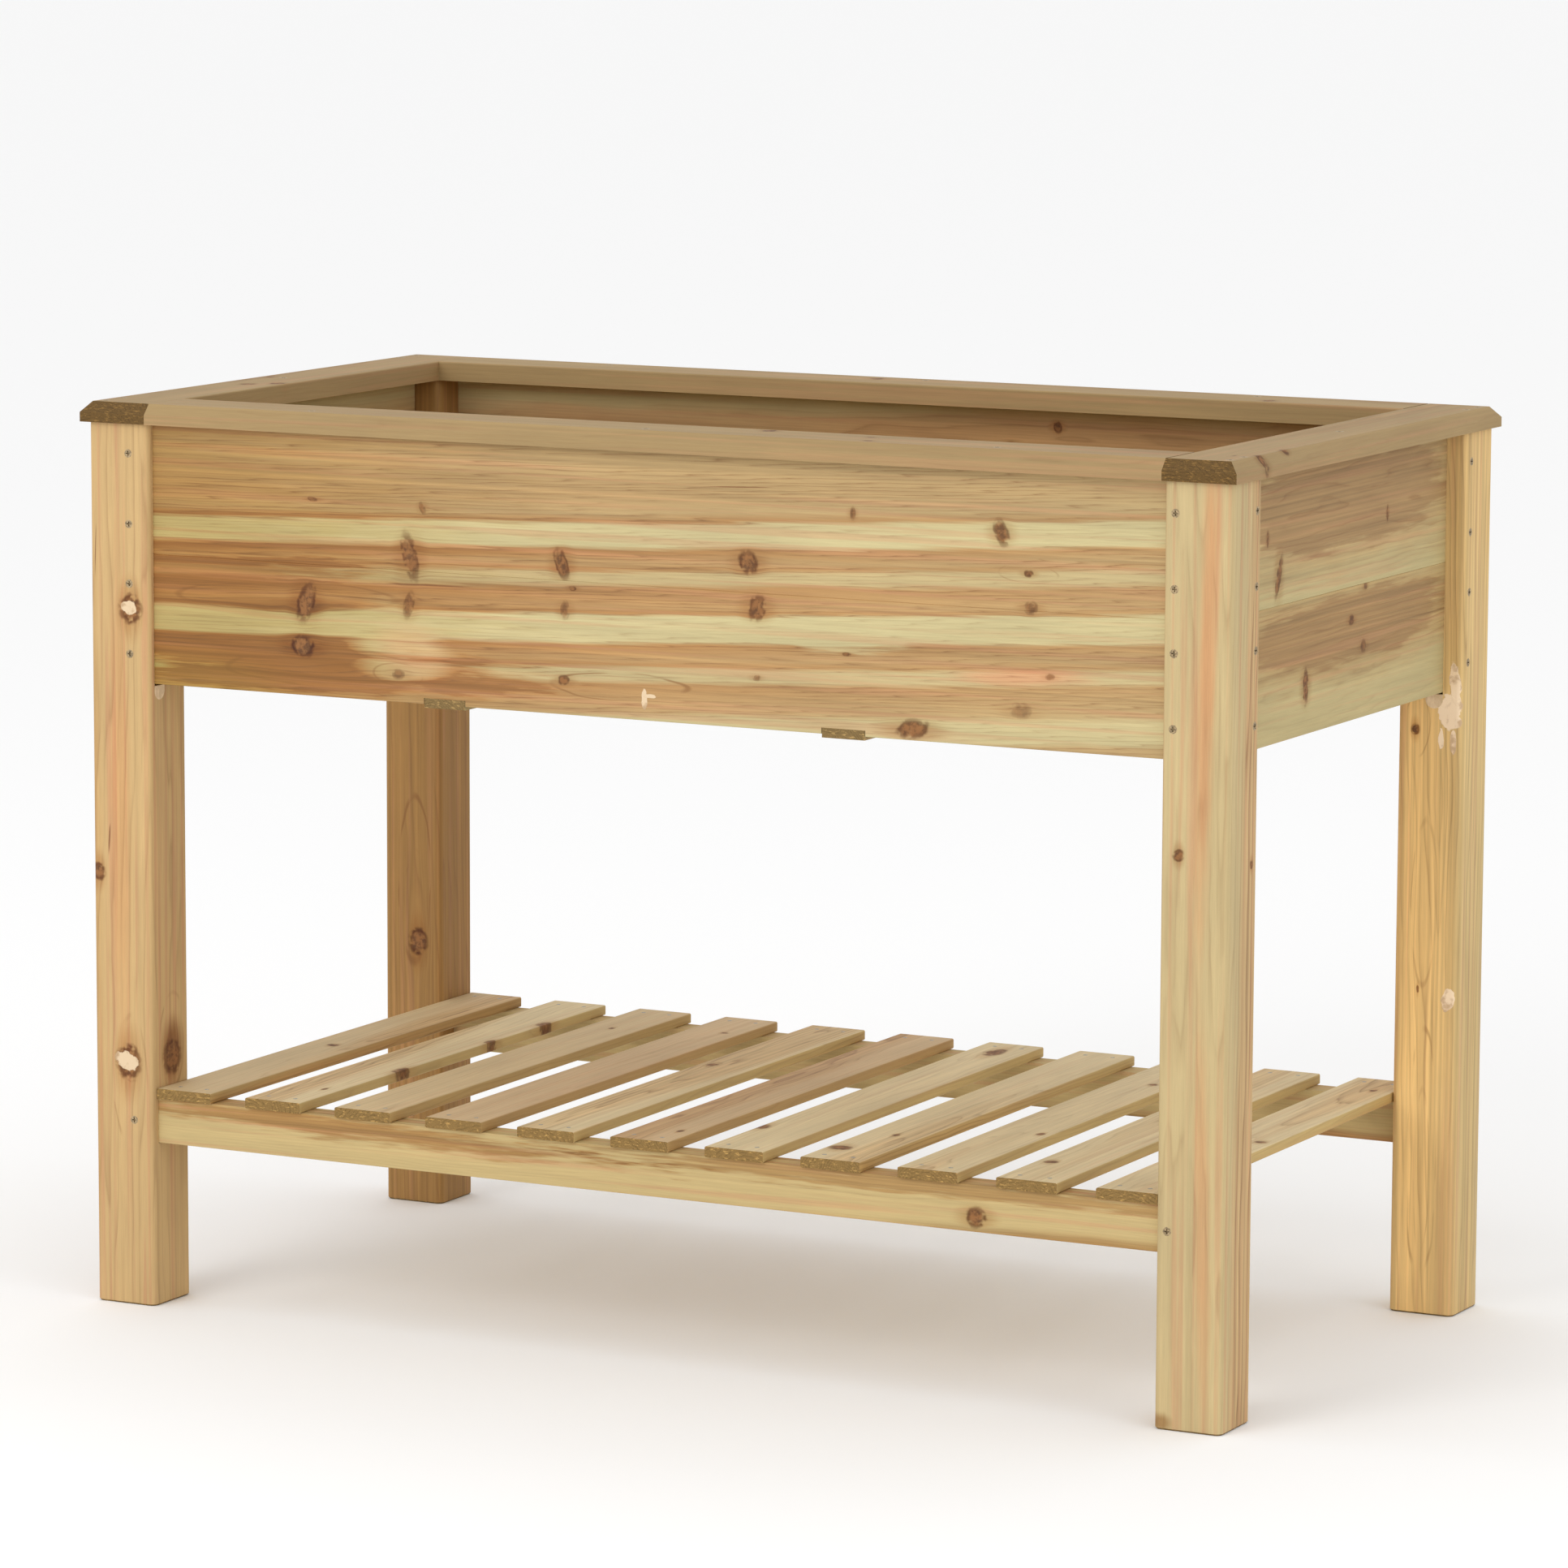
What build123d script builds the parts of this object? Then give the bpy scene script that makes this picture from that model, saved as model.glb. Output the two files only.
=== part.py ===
from build123d import *
import os

# Raised planter on legs: a softwood trough of grooved boards on four square legs, with a
# bevelled rim on top and a slatted shelf on two long rails near the floor.
# Millimetres. +Z is up, +X runs along the long side, -Y is the front.
# The origin is on the floor, under the middle of the planter.

# ---- overall frame ----
frame_length = 1040  # outer face to outer face of the legs, along X
frame_depth = 540  # outer face to outer face of the legs, along Y
leg_height = 748
leg_size = 58
leg_edge_radius = 6
leg_foot_chamfer = 1.5

# ---- trough walls: two boards high, housed in grooves in the legs ----
board_height = 109
board_thickness = 15
board_edge_ease = 0.4
boards_high = 2
long_cheek = 8  # leg wood left outside the front and back boards
end_cheek = 18  # leg wood left outside the left and right boards
housing_depth = 26
housing_play = 0.5  # added to a board's thickness to make its groove
housing_end_gap = 1  # between a board's end and the bottom of its groove
groove_runout = 14  # length of the groove that runs on under the lowest board
filler_depth = 6  # putty pressed into the groove's run-out, flush with the leg
filler_gap = 2  # between the putty and the board above it

# ---- trough floor and the two bearers let into the long walls ----
bearer_width = 38
bearer_thickness = 8
bearer_spacing = 365  # middle to middle
bearer_drop = 3  # how far a bearer hangs below the long walls
bearer_play = 0.5  # each side of a bearer in its notch
floor_boards = 5
floor_thickness = 9
floor_gap = 8  # drainage gap between floor boards
floor_edge_gap = 2  # between the outer floor boards and the long walls
floor_corner_gap = 1  # between a floor board's corner notch and the leg
floor_groove_depth = 6  # groove in the lower end boards for the floor's ends
floor_groove_play = 0.5
floor_end_gap = 1

# ---- bevelled rim ----
rim_thickness = 17
rim_overhang = 5
rim_bevel_height = 9
rim_bevel_width = 8
rim_inner_ease = 1.5

# ---- shelf ----
rail_height = 38
rail_thickness = 26
rail_floor_clearance = 140  # floor to underside of the rails
rail_setback = 8  # from the legs' front and back faces
rail_play = 0.5
slat_count = 11
slat_width = 53
slat_thickness = 9
slat_edge_radius = 1.5
slat_overhang = 3  # past the rails' outer faces
slat_leg_gap = 0.5  # between the outer slats and the legs

# ---- fasteners ----
screw_head_diameter = 7
screw_head_height = 2.2
screw_shank_diameter = 3.5
screw_point_radius = 0.35
screw_play = 0.1
cross_length = 4.2
cross_width = 1
cross_depth = 1.4
long_wall_screw_length = 21
end_wall_screw_length = 30
rail_screw_length = 30
rim_screw_length = 45
screw_inset = 10  # from the leg's inner face to a wall or rail screw
front_left_screw_inset = 19  # the same on the front of the left leg, driven farther in
screw_edge_distance = 25  # from a wall board's edge
rim_screw_clearance = 8  # from the line of the end wall screws to the first rim screw over a leg
rim_screw_edge_distance = 14  # from a leg's outer face to the second
rim_row_end = 150  # from the legs to the first rim screw along a wall
rim_wall_screw_length = 40
nail_head_diameter = 4
nail_head_height = 1
nail_shank_diameter = 2
slat_nail_length = 28
slat_nail_pitch = 26
floor_nail_length = 15
floor_nail_pitch = 56
bearer_screw_length = 30

# ---- places worked out from the sizes above ----
half_length = frame_length / 2
half_depth = frame_depth / 2
leg_inner_x = half_length - leg_size
leg_inner_y = half_depth - leg_size
wall_height = board_height * boards_high
wall_bottom = leg_height - wall_height
groove_width = board_thickness + housing_play
long_wall_outer_y = half_depth - long_cheek
long_wall_inner_y = long_wall_outer_y - board_thickness
end_wall_outer_x = half_length - end_cheek
end_wall_inner_x = end_wall_outer_x - board_thickness
bearer_bottom = wall_bottom - bearer_drop
bearer_top = bearer_bottom + bearer_thickness
bearer_xs = (-bearer_spacing / 2, bearer_spacing / 2)
floor_top = bearer_top + floor_thickness
rail_outer_y = half_depth - rail_setback
rail_middle_y = rail_outer_y - rail_thickness / 2
rail_top = rail_floor_clearance + rail_height
slat_top = rail_top + slat_thickness
slat_half_length = rail_outer_y + slat_overhang
slat_first_x = -leg_inner_x + slat_leg_gap + slat_width / 2
slat_pitch = -2 * slat_first_x / (slat_count - 1)
rim_top = leg_height + rim_thickness
rim_outer_x = half_length + rim_overhang
rim_outer_y = half_depth + rim_overhang
rim_inner_x = leg_inner_x
rim_inner_y = leg_inner_y


def block(x_range, y_range, z_range):
    """A plain box between three pairs of coordinates."""
    (x0, x1), (y0, y1), (z0, z1) = x_range, y_range, z_range
    middle = ((x0 + x1) / 2, (y0 + y1) / 2, (z0 + z1) / 2)
    return Pos(*middle) * Box(abs(x1 - x0), abs(y1 - y0), abs(z1 - z0))


def mirrored(shape, flip_x, flip_y):
    """The shape, or its mirror image across the middle planes of the planter."""
    if flip_x:
        shape = mirror(shape, about=Plane.YZ)
    if flip_y:
        shape = mirror(shape, about=Plane.XZ)
    return shape


def all_corners(shape):
    """Copies of a shape made at the back right, one at each of the four corners."""
    return [mirrored(shape, fx, fy) for fx in (False, True) for fy in (False, True)]


# ---- fastener shapes and the holes they sit in, pointing down from the origin ----
def countersunk_screw(length):
    head = Pos(0, 0, -screw_head_height / 2) * Cone(
        screw_shank_diameter / 2, screw_head_diameter / 2, screw_head_height
    )
    tip = screw_shank_diameter
    body_length = length - screw_head_height - tip
    shank = Pos(0, 0, -screw_head_height - body_length / 2) * Cylinder(
        screw_shank_diameter / 2, body_length
    )
    point = Pos(0, 0, -length + tip / 2) * Cone(
        screw_point_radius, screw_shank_diameter / 2, tip
    )
    recess = Pos(0, 0, -cross_depth / 2) * (
        Box(cross_length, cross_width, cross_depth)
        + Box(cross_width, cross_length, cross_depth)
    )
    return head + shank + point - recess


def screw_hole(length):
    head = Pos(0, 0, -screw_head_height / 2) * Cone(
        screw_shank_diameter / 2, screw_head_diameter / 2, screw_head_height
    )
    radius = (screw_shank_diameter + screw_play) / 2
    return head + Pos(0, 0, -length / 2) * Cylinder(radius, length)


def flat_nail(length):
    shank_length = length - nail_head_height
    head = Pos(0, 0, -nail_head_height / 2) * Cylinder(
        nail_head_diameter / 2, nail_head_height
    )
    shank = Pos(0, 0, -nail_head_height - shank_length / 2) * Cylinder(
        nail_shank_diameter / 2, shank_length
    )
    return head + shank


# ---- where every fastener goes: a Location whose -Z points into the wood ----
def wall_screw_heights():
    heights = []
    for row in range(boards_high):
        bottom = wall_bottom + row * board_height
        heights += [bottom + screw_edge_distance, bottom + board_height - screw_edge_distance]
    return heights


def facing(x, y, z, direction):
    """The place of a fastener driven from a face that looks along the direction."""
    return Location(Plane(origin=(x, y, z), z_dir=direction))


front_back = ((-1, (0, -1, 0)), (1, (0, 1, 0)))
left_right = ((-1, (-1, 0, 0)), (1, (1, 0, 0)))


def front_back_screw_x(side_x, side_y):
    """How far along X the screws sit that are driven into a leg's front or back face."""
    front_left = side_x < 0 and side_y < 0
    return side_x * (leg_inner_x + (front_left_screw_inset if front_left else screw_inset))


long_wall_places = [
    facing(front_back_screw_x(side_x, side_y), side_y * half_depth, z, direction)
    for side_y, direction in front_back
    for side_x in (-1, 1)
    for z in wall_screw_heights()
]
end_wall_places = [
    facing(side_x * half_length, side_y * (leg_inner_y + screw_inset), z, direction)
    for side_x, direction in left_right
    for side_y in (-1, 1)
    for z in wall_screw_heights()
]
rail_places = [
    facing(
        front_back_screw_x(side_x, side_y),
        side_y * half_depth,
        rail_floor_clearance + rail_height / 2,
        direction,
    )
    for side_y, direction in front_back
    for side_x in (-1, 1)
]

# Two screws hold each rim end board down over a leg, clear of the leg's grooves.
rim_corner_x = half_length - end_cheek / 2
rim_corner_ys = (
    leg_inner_y + screw_inset + rim_screw_clearance,
    half_depth - rim_screw_edge_distance,
)
rim_corner_places = [
    Pos(side_x * rim_corner_x, side_y * y, rim_top)
    for side_x in (-1, 1)
    for side_y in (-1, 1)
    for y in rim_corner_ys
]
rim_row_x = leg_inner_x - rim_row_end
rim_row_y = (long_wall_outer_y + long_wall_inner_y) / 2
rim_end_x = (end_wall_outer_x + end_wall_inner_x) / 2
rim_wall_places = [
    Pos(x, side_y * rim_row_y, rim_top)
    for side_y in (-1, 1)
    for x in (-rim_row_x, 0, rim_row_x)
] + [Pos(side_x * rim_end_x, 0, rim_top) for side_x in (-1, 1)]

slat_xs = [slat_first_x + slat_pitch * i for i in range(slat_count)]
slat_nail_places = [
    Pos(x + shift, side_y * rail_middle_y, slat_top)
    for x in slat_xs
    for side_y in (-1, 1)
    for shift in (-slat_nail_pitch / 2, slat_nail_pitch / 2)
]
floor_span = 2 * (long_wall_inner_y - floor_edge_gap)
floor_width = (floor_span - (floor_boards - 1) * floor_gap) / floor_boards
floor_ys = [
    -floor_span / 2 + floor_width / 2 + i * (floor_width + floor_gap)
    for i in range(floor_boards)
]
floor_nail_places = [
    Pos(x, y + shift, floor_top)
    for x in bearer_xs
    for y in floor_ys
    for shift in (-floor_nail_pitch / 2, floor_nail_pitch / 2)
]
bearer_screw_places = [
    facing(x, side_y * rim_row_y, bearer_bottom, (0, 0, -1))
    for x in bearer_xs
    for side_y in (-1, 1)
]


def drilled(piece, places, hole):
    """The piece with a hole cut at every place that falls within its box."""
    box = piece.bounding_box()
    low, high = box.min, box.max
    for place in places:
        tool = place * hole
        reach = tool.bounding_box()
        near, far = reach.min, reach.max
        apart = near.X > high.X or far.X < low.X or near.Y > high.Y or far.Y < low.Y
        if not apart and near.Z <= high.Z and far.Z >= low.Z:
            piece = piece - tool
    return piece


long_wall_hole = screw_hole(long_wall_screw_length)
end_wall_hole = screw_hole(end_wall_screw_length)
rail_hole = screw_hole(rail_screw_length)
rim_corner_hole = screw_hole(rim_screw_length)
rim_wall_hole = screw_hole(rim_wall_screw_length)
slat_nail_hole = flat_nail(slat_nail_length)
floor_nail_hole = flat_nail(floor_nail_length)
bearer_screw_hole = screw_hole(bearer_screw_length)


# ---- legs: square posts, grooved on two faces, with a stopped mortise for the rail ----
def leg():
    """The back right leg."""
    body = block((leg_inner_x, half_length), (leg_inner_y, half_depth), (0, leg_height))
    body = fillet(body.edges().filter_by(Axis.Z), leg_edge_radius)
    body = chamfer(body.faces().sort_by(Axis.Z)[0].edges(), leg_foot_chamfer)

    groove_bottom = wall_bottom - groove_runout
    radius = groove_width / 2
    groove_z = (groove_bottom + radius, leg_height)
    long_inner_y = long_wall_outer_y - groove_width
    long_middle_y = long_wall_outer_y - radius
    body -= block(
        (leg_inner_x, leg_inner_x + housing_depth), (long_inner_y, long_wall_outer_y), groove_z
    )
    body -= Pos(leg_inner_x + housing_depth / 2, long_middle_y, groove_bottom + radius) * (
        Rot(0, 90, 0) * Cylinder(radius, housing_depth)
    )
    end_inner_x = end_wall_outer_x - groove_width
    end_middle_x = end_wall_outer_x - radius
    body -= block(
        (end_inner_x, end_wall_outer_x), (leg_inner_y, leg_inner_y + housing_depth), groove_z
    )
    body -= Pos(end_middle_x, leg_inner_y + housing_depth / 2, groove_bottom + radius) * (
        Rot(90, 0, 0) * Cylinder(radius, housing_depth)
    )
    body -= block(
        (leg_inner_x, leg_inner_x + housing_depth),
        (rail_outer_y - rail_thickness - rail_play, rail_outer_y),
        (rail_floor_clearance - rail_play, rail_top + rail_play),
    )
    return body


def groove_filler(x_range, y_range, turn):
    """Putty in a groove's run-out: round below like the groove's end, cut off square above."""
    radius = groove_width / 2
    bottom = wall_bottom - groove_runout
    top = wall_bottom - filler_gap
    round_end = Pos(sum(x_range) / 2, sum(y_range) / 2, bottom + radius) * (
        turn * Cylinder(radius, filler_depth)
    )
    round_end = round_end & block(x_range, y_range, (bottom, top))
    return round_end + block(x_range, y_range, (bottom + radius, top))


# ---- wall boards ----
def eased(board, long_axis):
    return chamfer(board.edges().filter_by(long_axis), board_edge_ease)


def long_wall_board(row):
    """A back wall board. The lowest row is notched for the two bearers."""
    half = leg_inner_x + housing_depth - housing_end_gap
    bottom = wall_bottom + row * board_height
    board = eased(
        block(
            (-half, half),
            (long_wall_inner_y, long_wall_outer_y),
            (bottom, bottom + board_height),
        ),
        Axis.X,
    )
    if row == 0:
        reach = bearer_width / 2 + bearer_play
        for x in bearer_xs:
            board -= block(
                (x - reach, x + reach), (long_wall_inner_y, half_depth), (bottom, bearer_top)
            )
    return board


def end_wall_board(row):
    """A right wall board. The lowest row is grooved inside for the floor's ends."""
    half = leg_inner_y + housing_depth - housing_end_gap
    bottom = wall_bottom + row * board_height
    board = eased(
        block(
            (end_wall_inner_x, end_wall_outer_x), (-half, half), (bottom, bottom + board_height)
        ),
        Axis.Y,
    )
    if row == 0:
        board -= block(
            (end_wall_inner_x, end_wall_inner_x + floor_groove_depth),
            (-leg_inner_y, leg_inner_y),
            (bearer_top, floor_top + floor_groove_play),
        )
    return board


# ---- floor and bearers ----
def bearer(x):
    return block(
        (x - bearer_width / 2, x + bearer_width / 2),
        (-long_wall_outer_y, long_wall_outer_y),
        (bearer_bottom, bearer_top),
    )


def floor_board(y):
    half = end_wall_inner_x + floor_groove_depth - floor_end_gap
    board = block(
        (-half, half), (y - floor_width / 2, y + floor_width / 2), (bearer_top, floor_top)
    )
    board = eased(board, Axis.X)
    leg_corner = block(
        (leg_inner_x - floor_corner_gap, half_length),
        (leg_inner_y - floor_corner_gap, half_depth),
        (bearer_bottom, floor_top + floor_groove_play),
    )
    for corner in all_corners(leg_corner):
        board = board - corner
    return board


# ---- rim: end boards run the full depth, long boards fit between them ----


def bevel_wedge():
    """Waste cut off an outer top edge, along X with its corner at the origin and ends to spare."""
    outline = Polyline((0, 0), (-rim_bevel_width, 0), (0, -rim_bevel_height), close=True)
    return extrude(Plane.YZ * make_face(outline), frame_length, both=True)


def rim_end_board():
    """The right rim board, bevelled on its outer edge and on both ends."""
    board = block((rim_inner_x, rim_outer_x), (-rim_outer_y, rim_outer_y), (leg_height, rim_top))
    inner_edge = board.edges().filter_by(Axis.Y).group_by(Axis.Z)[-1].sort_by(Axis.X)[0]
    board = fillet(inner_edge, rim_inner_ease)
    wedge_x = bevel_wedge()
    wedge_y = Rot(0, 0, -90) * bevel_wedge()
    board -= Pos(rim_outer_x, 0, rim_top) * wedge_y
    board -= Pos(0, rim_outer_y, rim_top) * wedge_x
    board -= mirror(Pos(0, rim_outer_y, rim_top) * wedge_x, about=Plane.XZ)
    return board


def rim_long_board():
    """The back rim board."""
    board = block((-rim_inner_x, rim_inner_x), (rim_inner_y, rim_outer_y), (leg_height, rim_top))
    inner_edge = board.edges().filter_by(Axis.X).group_by(Axis.Z)[-1].sort_by(Axis.Y)[0]
    board = fillet(inner_edge, rim_inner_ease)
    board -= Pos(0, rim_outer_y, rim_top) * bevel_wedge()
    return board


# ---- shelf ----
def shelf_rail():
    """The back shelf rail, its ends housed in the legs' mortises."""
    half = leg_inner_x + housing_depth - housing_end_gap
    rail = block(
        (-half, half),
        (rail_outer_y - rail_thickness, rail_outer_y),
        (rail_floor_clearance, rail_top),
    )
    return eased(rail, Axis.X)


def shelf_slat(x):
    slat = block(
        (x - slat_width / 2, x + slat_width / 2),
        (-slat_half_length, slat_half_length),
        (rail_top, slat_top),
    )
    return fillet(slat.edges().filter_by(Axis.Y), slat_edge_radius)


# ---- put together, one node to a piece ----
nodes = {}

back_right_leg = leg()
for side_y, flip_y in (("front", True), ("back", False)):
    for side_x, flip_x in (("left", True), ("right", False)):
        post = mirrored(back_right_leg, flip_x, flip_y)
        post = drilled(post, long_wall_places, long_wall_hole)
        post = drilled(post, end_wall_places, end_wall_hole)
        post = drilled(post, rail_places, rail_hole)
        post = drilled(post, rim_corner_places, rim_corner_hole)
        nodes[f"leg_{side_y}_{side_x}"] = post

# Each leg has one groove that opens along X and one that opens along Y.
x_filler = groove_filler(
    (leg_inner_x, leg_inner_x + filler_depth),
    (long_wall_outer_y - groove_width, long_wall_outer_y),
    Rot(0, 90, 0),
)
y_filler = groove_filler(
    (end_wall_outer_x - groove_width, end_wall_outer_x),
    (leg_inner_y, leg_inner_y + filler_depth),
    Rot(90, 0, 0),
)
nodes["groove_fillers"] = Compound(children=all_corners(x_filler) + all_corners(y_filler))

level_names = {0: "lower", boards_high - 1: "upper"}
for row in range(boards_high):
    level = level_names.get(row, f"middle_{row}")
    for side, flip in (("front", True), ("back", False)):
        board = mirrored(long_wall_board(row), False, flip)
        board = drilled(board, long_wall_places, long_wall_hole)
        board = drilled(board, rim_wall_places, rim_wall_hole)
        board = drilled(board, bearer_screw_places, bearer_screw_hole)
        nodes[f"{side}_board_{level}"] = board
    for side, flip in (("left", True), ("right", False)):
        board = mirrored(end_wall_board(row), flip, False)
        board = drilled(board, end_wall_places, end_wall_hole)
        nodes[f"{side}_board_{level}"] = drilled(board, rim_wall_places, rim_wall_hole)

for side, x in zip(("left", "right"), bearer_xs):
    piece = drilled(bearer(x), floor_nail_places, floor_nail_hole)
    nodes[f"floor_bearer_{side}"] = drilled(piece, bearer_screw_places, bearer_screw_hole)
for number, y in enumerate(floor_ys, start=1):
    nodes[f"floor_board_{number}"] = drilled(floor_board(y), floor_nail_places, floor_nail_hole)

for side, flip in (("left", True), ("right", False)):
    board = drilled(mirrored(rim_end_board(), flip, False), rim_corner_places, rim_corner_hole)
    nodes[f"rim_{side}"] = drilled(board, rim_wall_places, rim_wall_hole)
for side, flip in (("front", True), ("back", False)):
    board = mirrored(rim_long_board(), False, flip)
    nodes[f"rim_{side}"] = drilled(board, rim_wall_places, rim_wall_hole)

for side, flip in (("front", True), ("back", False)):
    rail = drilled(mirrored(shelf_rail(), False, flip), rail_places, rail_hole)
    nodes[f"shelf_rail_{side}"] = drilled(rail, slat_nail_places, slat_nail_hole)
for number, x in enumerate(slat_xs, start=1):
    nodes[f"shelf_slat_{number:02d}"] = drilled(shelf_slat(x), slat_nail_places, slat_nail_hole)

fasteners = {
    "long_wall_screws": (long_wall_places, countersunk_screw(long_wall_screw_length)),
    "end_wall_screws": (end_wall_places, countersunk_screw(end_wall_screw_length)),
    "shelf_rail_screws": (rail_places, countersunk_screw(rail_screw_length)),
    "rim_corner_screws": (rim_corner_places, countersunk_screw(rim_screw_length)),
    "rim_wall_screws": (rim_wall_places, countersunk_screw(rim_wall_screw_length)),
    "bearer_screws": (bearer_screw_places, countersunk_screw(bearer_screw_length)),
    "slat_nails": (slat_nail_places, flat_nail(slat_nail_length)),
    "floor_nails": (floor_nail_places, flat_nail(floor_nail_length)),
}
for name, (places, fastener) in fasteners.items():
    nodes[name] = Compound(children=[place * fastener for place in places])

os.makedirs("parts", exist_ok=True)
for name, shape in nodes.items():
    export_step(shape, f"parts/{name}.step")
print(len(nodes), "nodes written")
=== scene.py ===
import math
import random

import bmesh
import bpy
from mathutils import Matrix, Vector


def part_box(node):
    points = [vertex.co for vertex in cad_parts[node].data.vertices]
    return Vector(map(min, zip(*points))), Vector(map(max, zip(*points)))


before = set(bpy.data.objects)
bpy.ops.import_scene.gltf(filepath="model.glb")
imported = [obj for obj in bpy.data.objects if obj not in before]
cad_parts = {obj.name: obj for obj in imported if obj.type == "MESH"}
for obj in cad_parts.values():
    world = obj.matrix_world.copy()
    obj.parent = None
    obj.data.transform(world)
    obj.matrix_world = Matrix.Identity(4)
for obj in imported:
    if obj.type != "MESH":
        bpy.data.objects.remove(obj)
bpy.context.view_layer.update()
MM = 0.001


# ---- Legs ----
# Four square posts of planed fir, with softly rounded long edges, sawn square at both ends.
# Each is grooved on two faces for the wall boards and mortised for the shelf rail.


class Shade:
    """One output of a node in a material. Arithmetic on it adds Math nodes."""

    def __init__(self, tree, socket=None):
        self.tree = tree
        self.socket = socket

    def node(self, kind, settings=None, inputs=None, output=0):
        """Adds a node of any type: first its settings, then its sockets' values or links."""
        made = self.tree.nodes.new(kind)
        for name, value in (settings or {}).items():
            if name == "stops":
                ramp = made.color_ramp
                while len(ramp.elements) < len(value):
                    ramp.elements.new(1)
                for element, (place, level) in zip(ramp.elements, value):
                    element.position = place
                    element.color = (level, level, level, 1)
            else:
                setattr(made, name, value)
        for name, value in (inputs or {}).items():
            if isinstance(value, Shade):
                self.tree.links.new(value.socket, made.inputs[name])
            else:
                made.inputs[name].default_value = value
        return Shade(self.tree, made.outputs[output])

    def feed(self, socket):
        """Links this to a socket of the shader."""
        self.tree.links.new(self.socket, socket)

    def maths(self, operation, *others):
        values = dict(enumerate((self, *others)))
        return self.node("ShaderNodeMath", {"operation": operation}, values)

    def __add__(self, other):
        return self.maths("ADD", other)

    def __sub__(self, other):
        return self.maths("SUBTRACT", other)

    def __mul__(self, other):
        return self.maths("MULTIPLY", other)

    __radd__, __rmul__ = __add__, __mul__

    def __rsub__(self, other):
        return self.node("ShaderNodeMath", {"operation": "SUBTRACT"}, {0: other, 1: self})

    def vector(self, operation, *others, output=0):
        values = dict(enumerate((self, *others)))
        return self.node("ShaderNodeVectorMath", {"operation": operation}, values, output)

    def scaled(self, factor):
        """A vector or colour times a number."""
        return self.node("ShaderNodeVectorMath", {"operation": "SCALE"}, {0: self, 3: factor})

    def between(self, low, high, top=1.0):
        """0 at low and top at high, with a soft change; low may be the larger."""
        settings = {"interpolation_type": "SMOOTHSTEP"}
        return self.node("ShaderNodeMapRange", settings, {0: self, 1: low, 2: high, 4: top})

    def clamped(self):
        return self.node("ShaderNodeClamp", None, {0: self})

    def noise(self, stretch, detail=2.0, roughness=0.5):
        """Noise over a place in millimetres, with a blotch size along each axis."""
        scaled = self.vector("MULTIPLY", [1 / s for s in stretch])
        inputs = {"Vector": scaled, "Scale": 1.0, "Detail": detail, "Roughness": roughness}
        return self.node("ShaderNodeTexNoise", None, inputs)

    def blend(self, low, high, kind="MIX"):
        """A colour from low, where this is 0, to high, where it is 1."""
        settings = {"data_type": "RGBA", "blend_type": kind}
        return self.node("ShaderNodeMix", settings, {0: self, 6: low, 7: high}, output=2)

    def distance(self, middle, radii, lean=(0, 0, 0)):
        """How far a place is from the middle of an egg shape, 1 on its skin."""
        inputs = {
            "Vector": self,
            "Location": middle,
            "Rotation": [math.radians(a) for a in lean],
            "Scale": radii,
        }
        placed = self.node("ShaderNodeMapping", {"vector_type": "TEXTURE"}, inputs)
        return placed.vector("LENGTH", output=1)


SAP = (0.52, 0.42, 0.21, 1)
HEART = (0.42, 0.22, 0.085, 1)
LATE_WOOD = (0.22, 0.105, 0.038, 1)
PINK_STREAK = (0.50, 0.235, 0.12, 1)
ARCH_LINE = (0.24, 0.11, 0.034, 1)
KNOT_STAIN = (0.72, 0.55, 0.40, 1)
KNOT_BARK = (0.30, 0.18, 0.10, 1)
KNOT_CORE = (0.28, 0.12, 0.037, 1)
KNOT_CRACK = (0.12, 0.05, 0.017, 1)
SPLIT = (0.19, 0.075, 0.026, 1)
FILLER = (0.70, 0.53, 0.34, 1)
END_GRAIN = (0.25, 0.16, 0.058, 1)
TURN_GRAIN = {"x": (0, 0, 0), "y": (0, 0, math.pi / 2), "z": (0, -math.pi / 2, 0)}
KNOT_DEPTH = 14
STAIN_ALONG = 3.6
STAIN_ACROSS = 1.7
KNOT_OPENING = 0.6
SEED_STEP = 371.0
LATE_WOOD_RAMP = ((0.0, 0.2), (0.1, 0.0), (0.6, 0.08), (0.84, 0.6), (0.92, 1.0), (1.0, 0.2))
DIRT = (0.66, 0.58, 0.50, 1)


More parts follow.
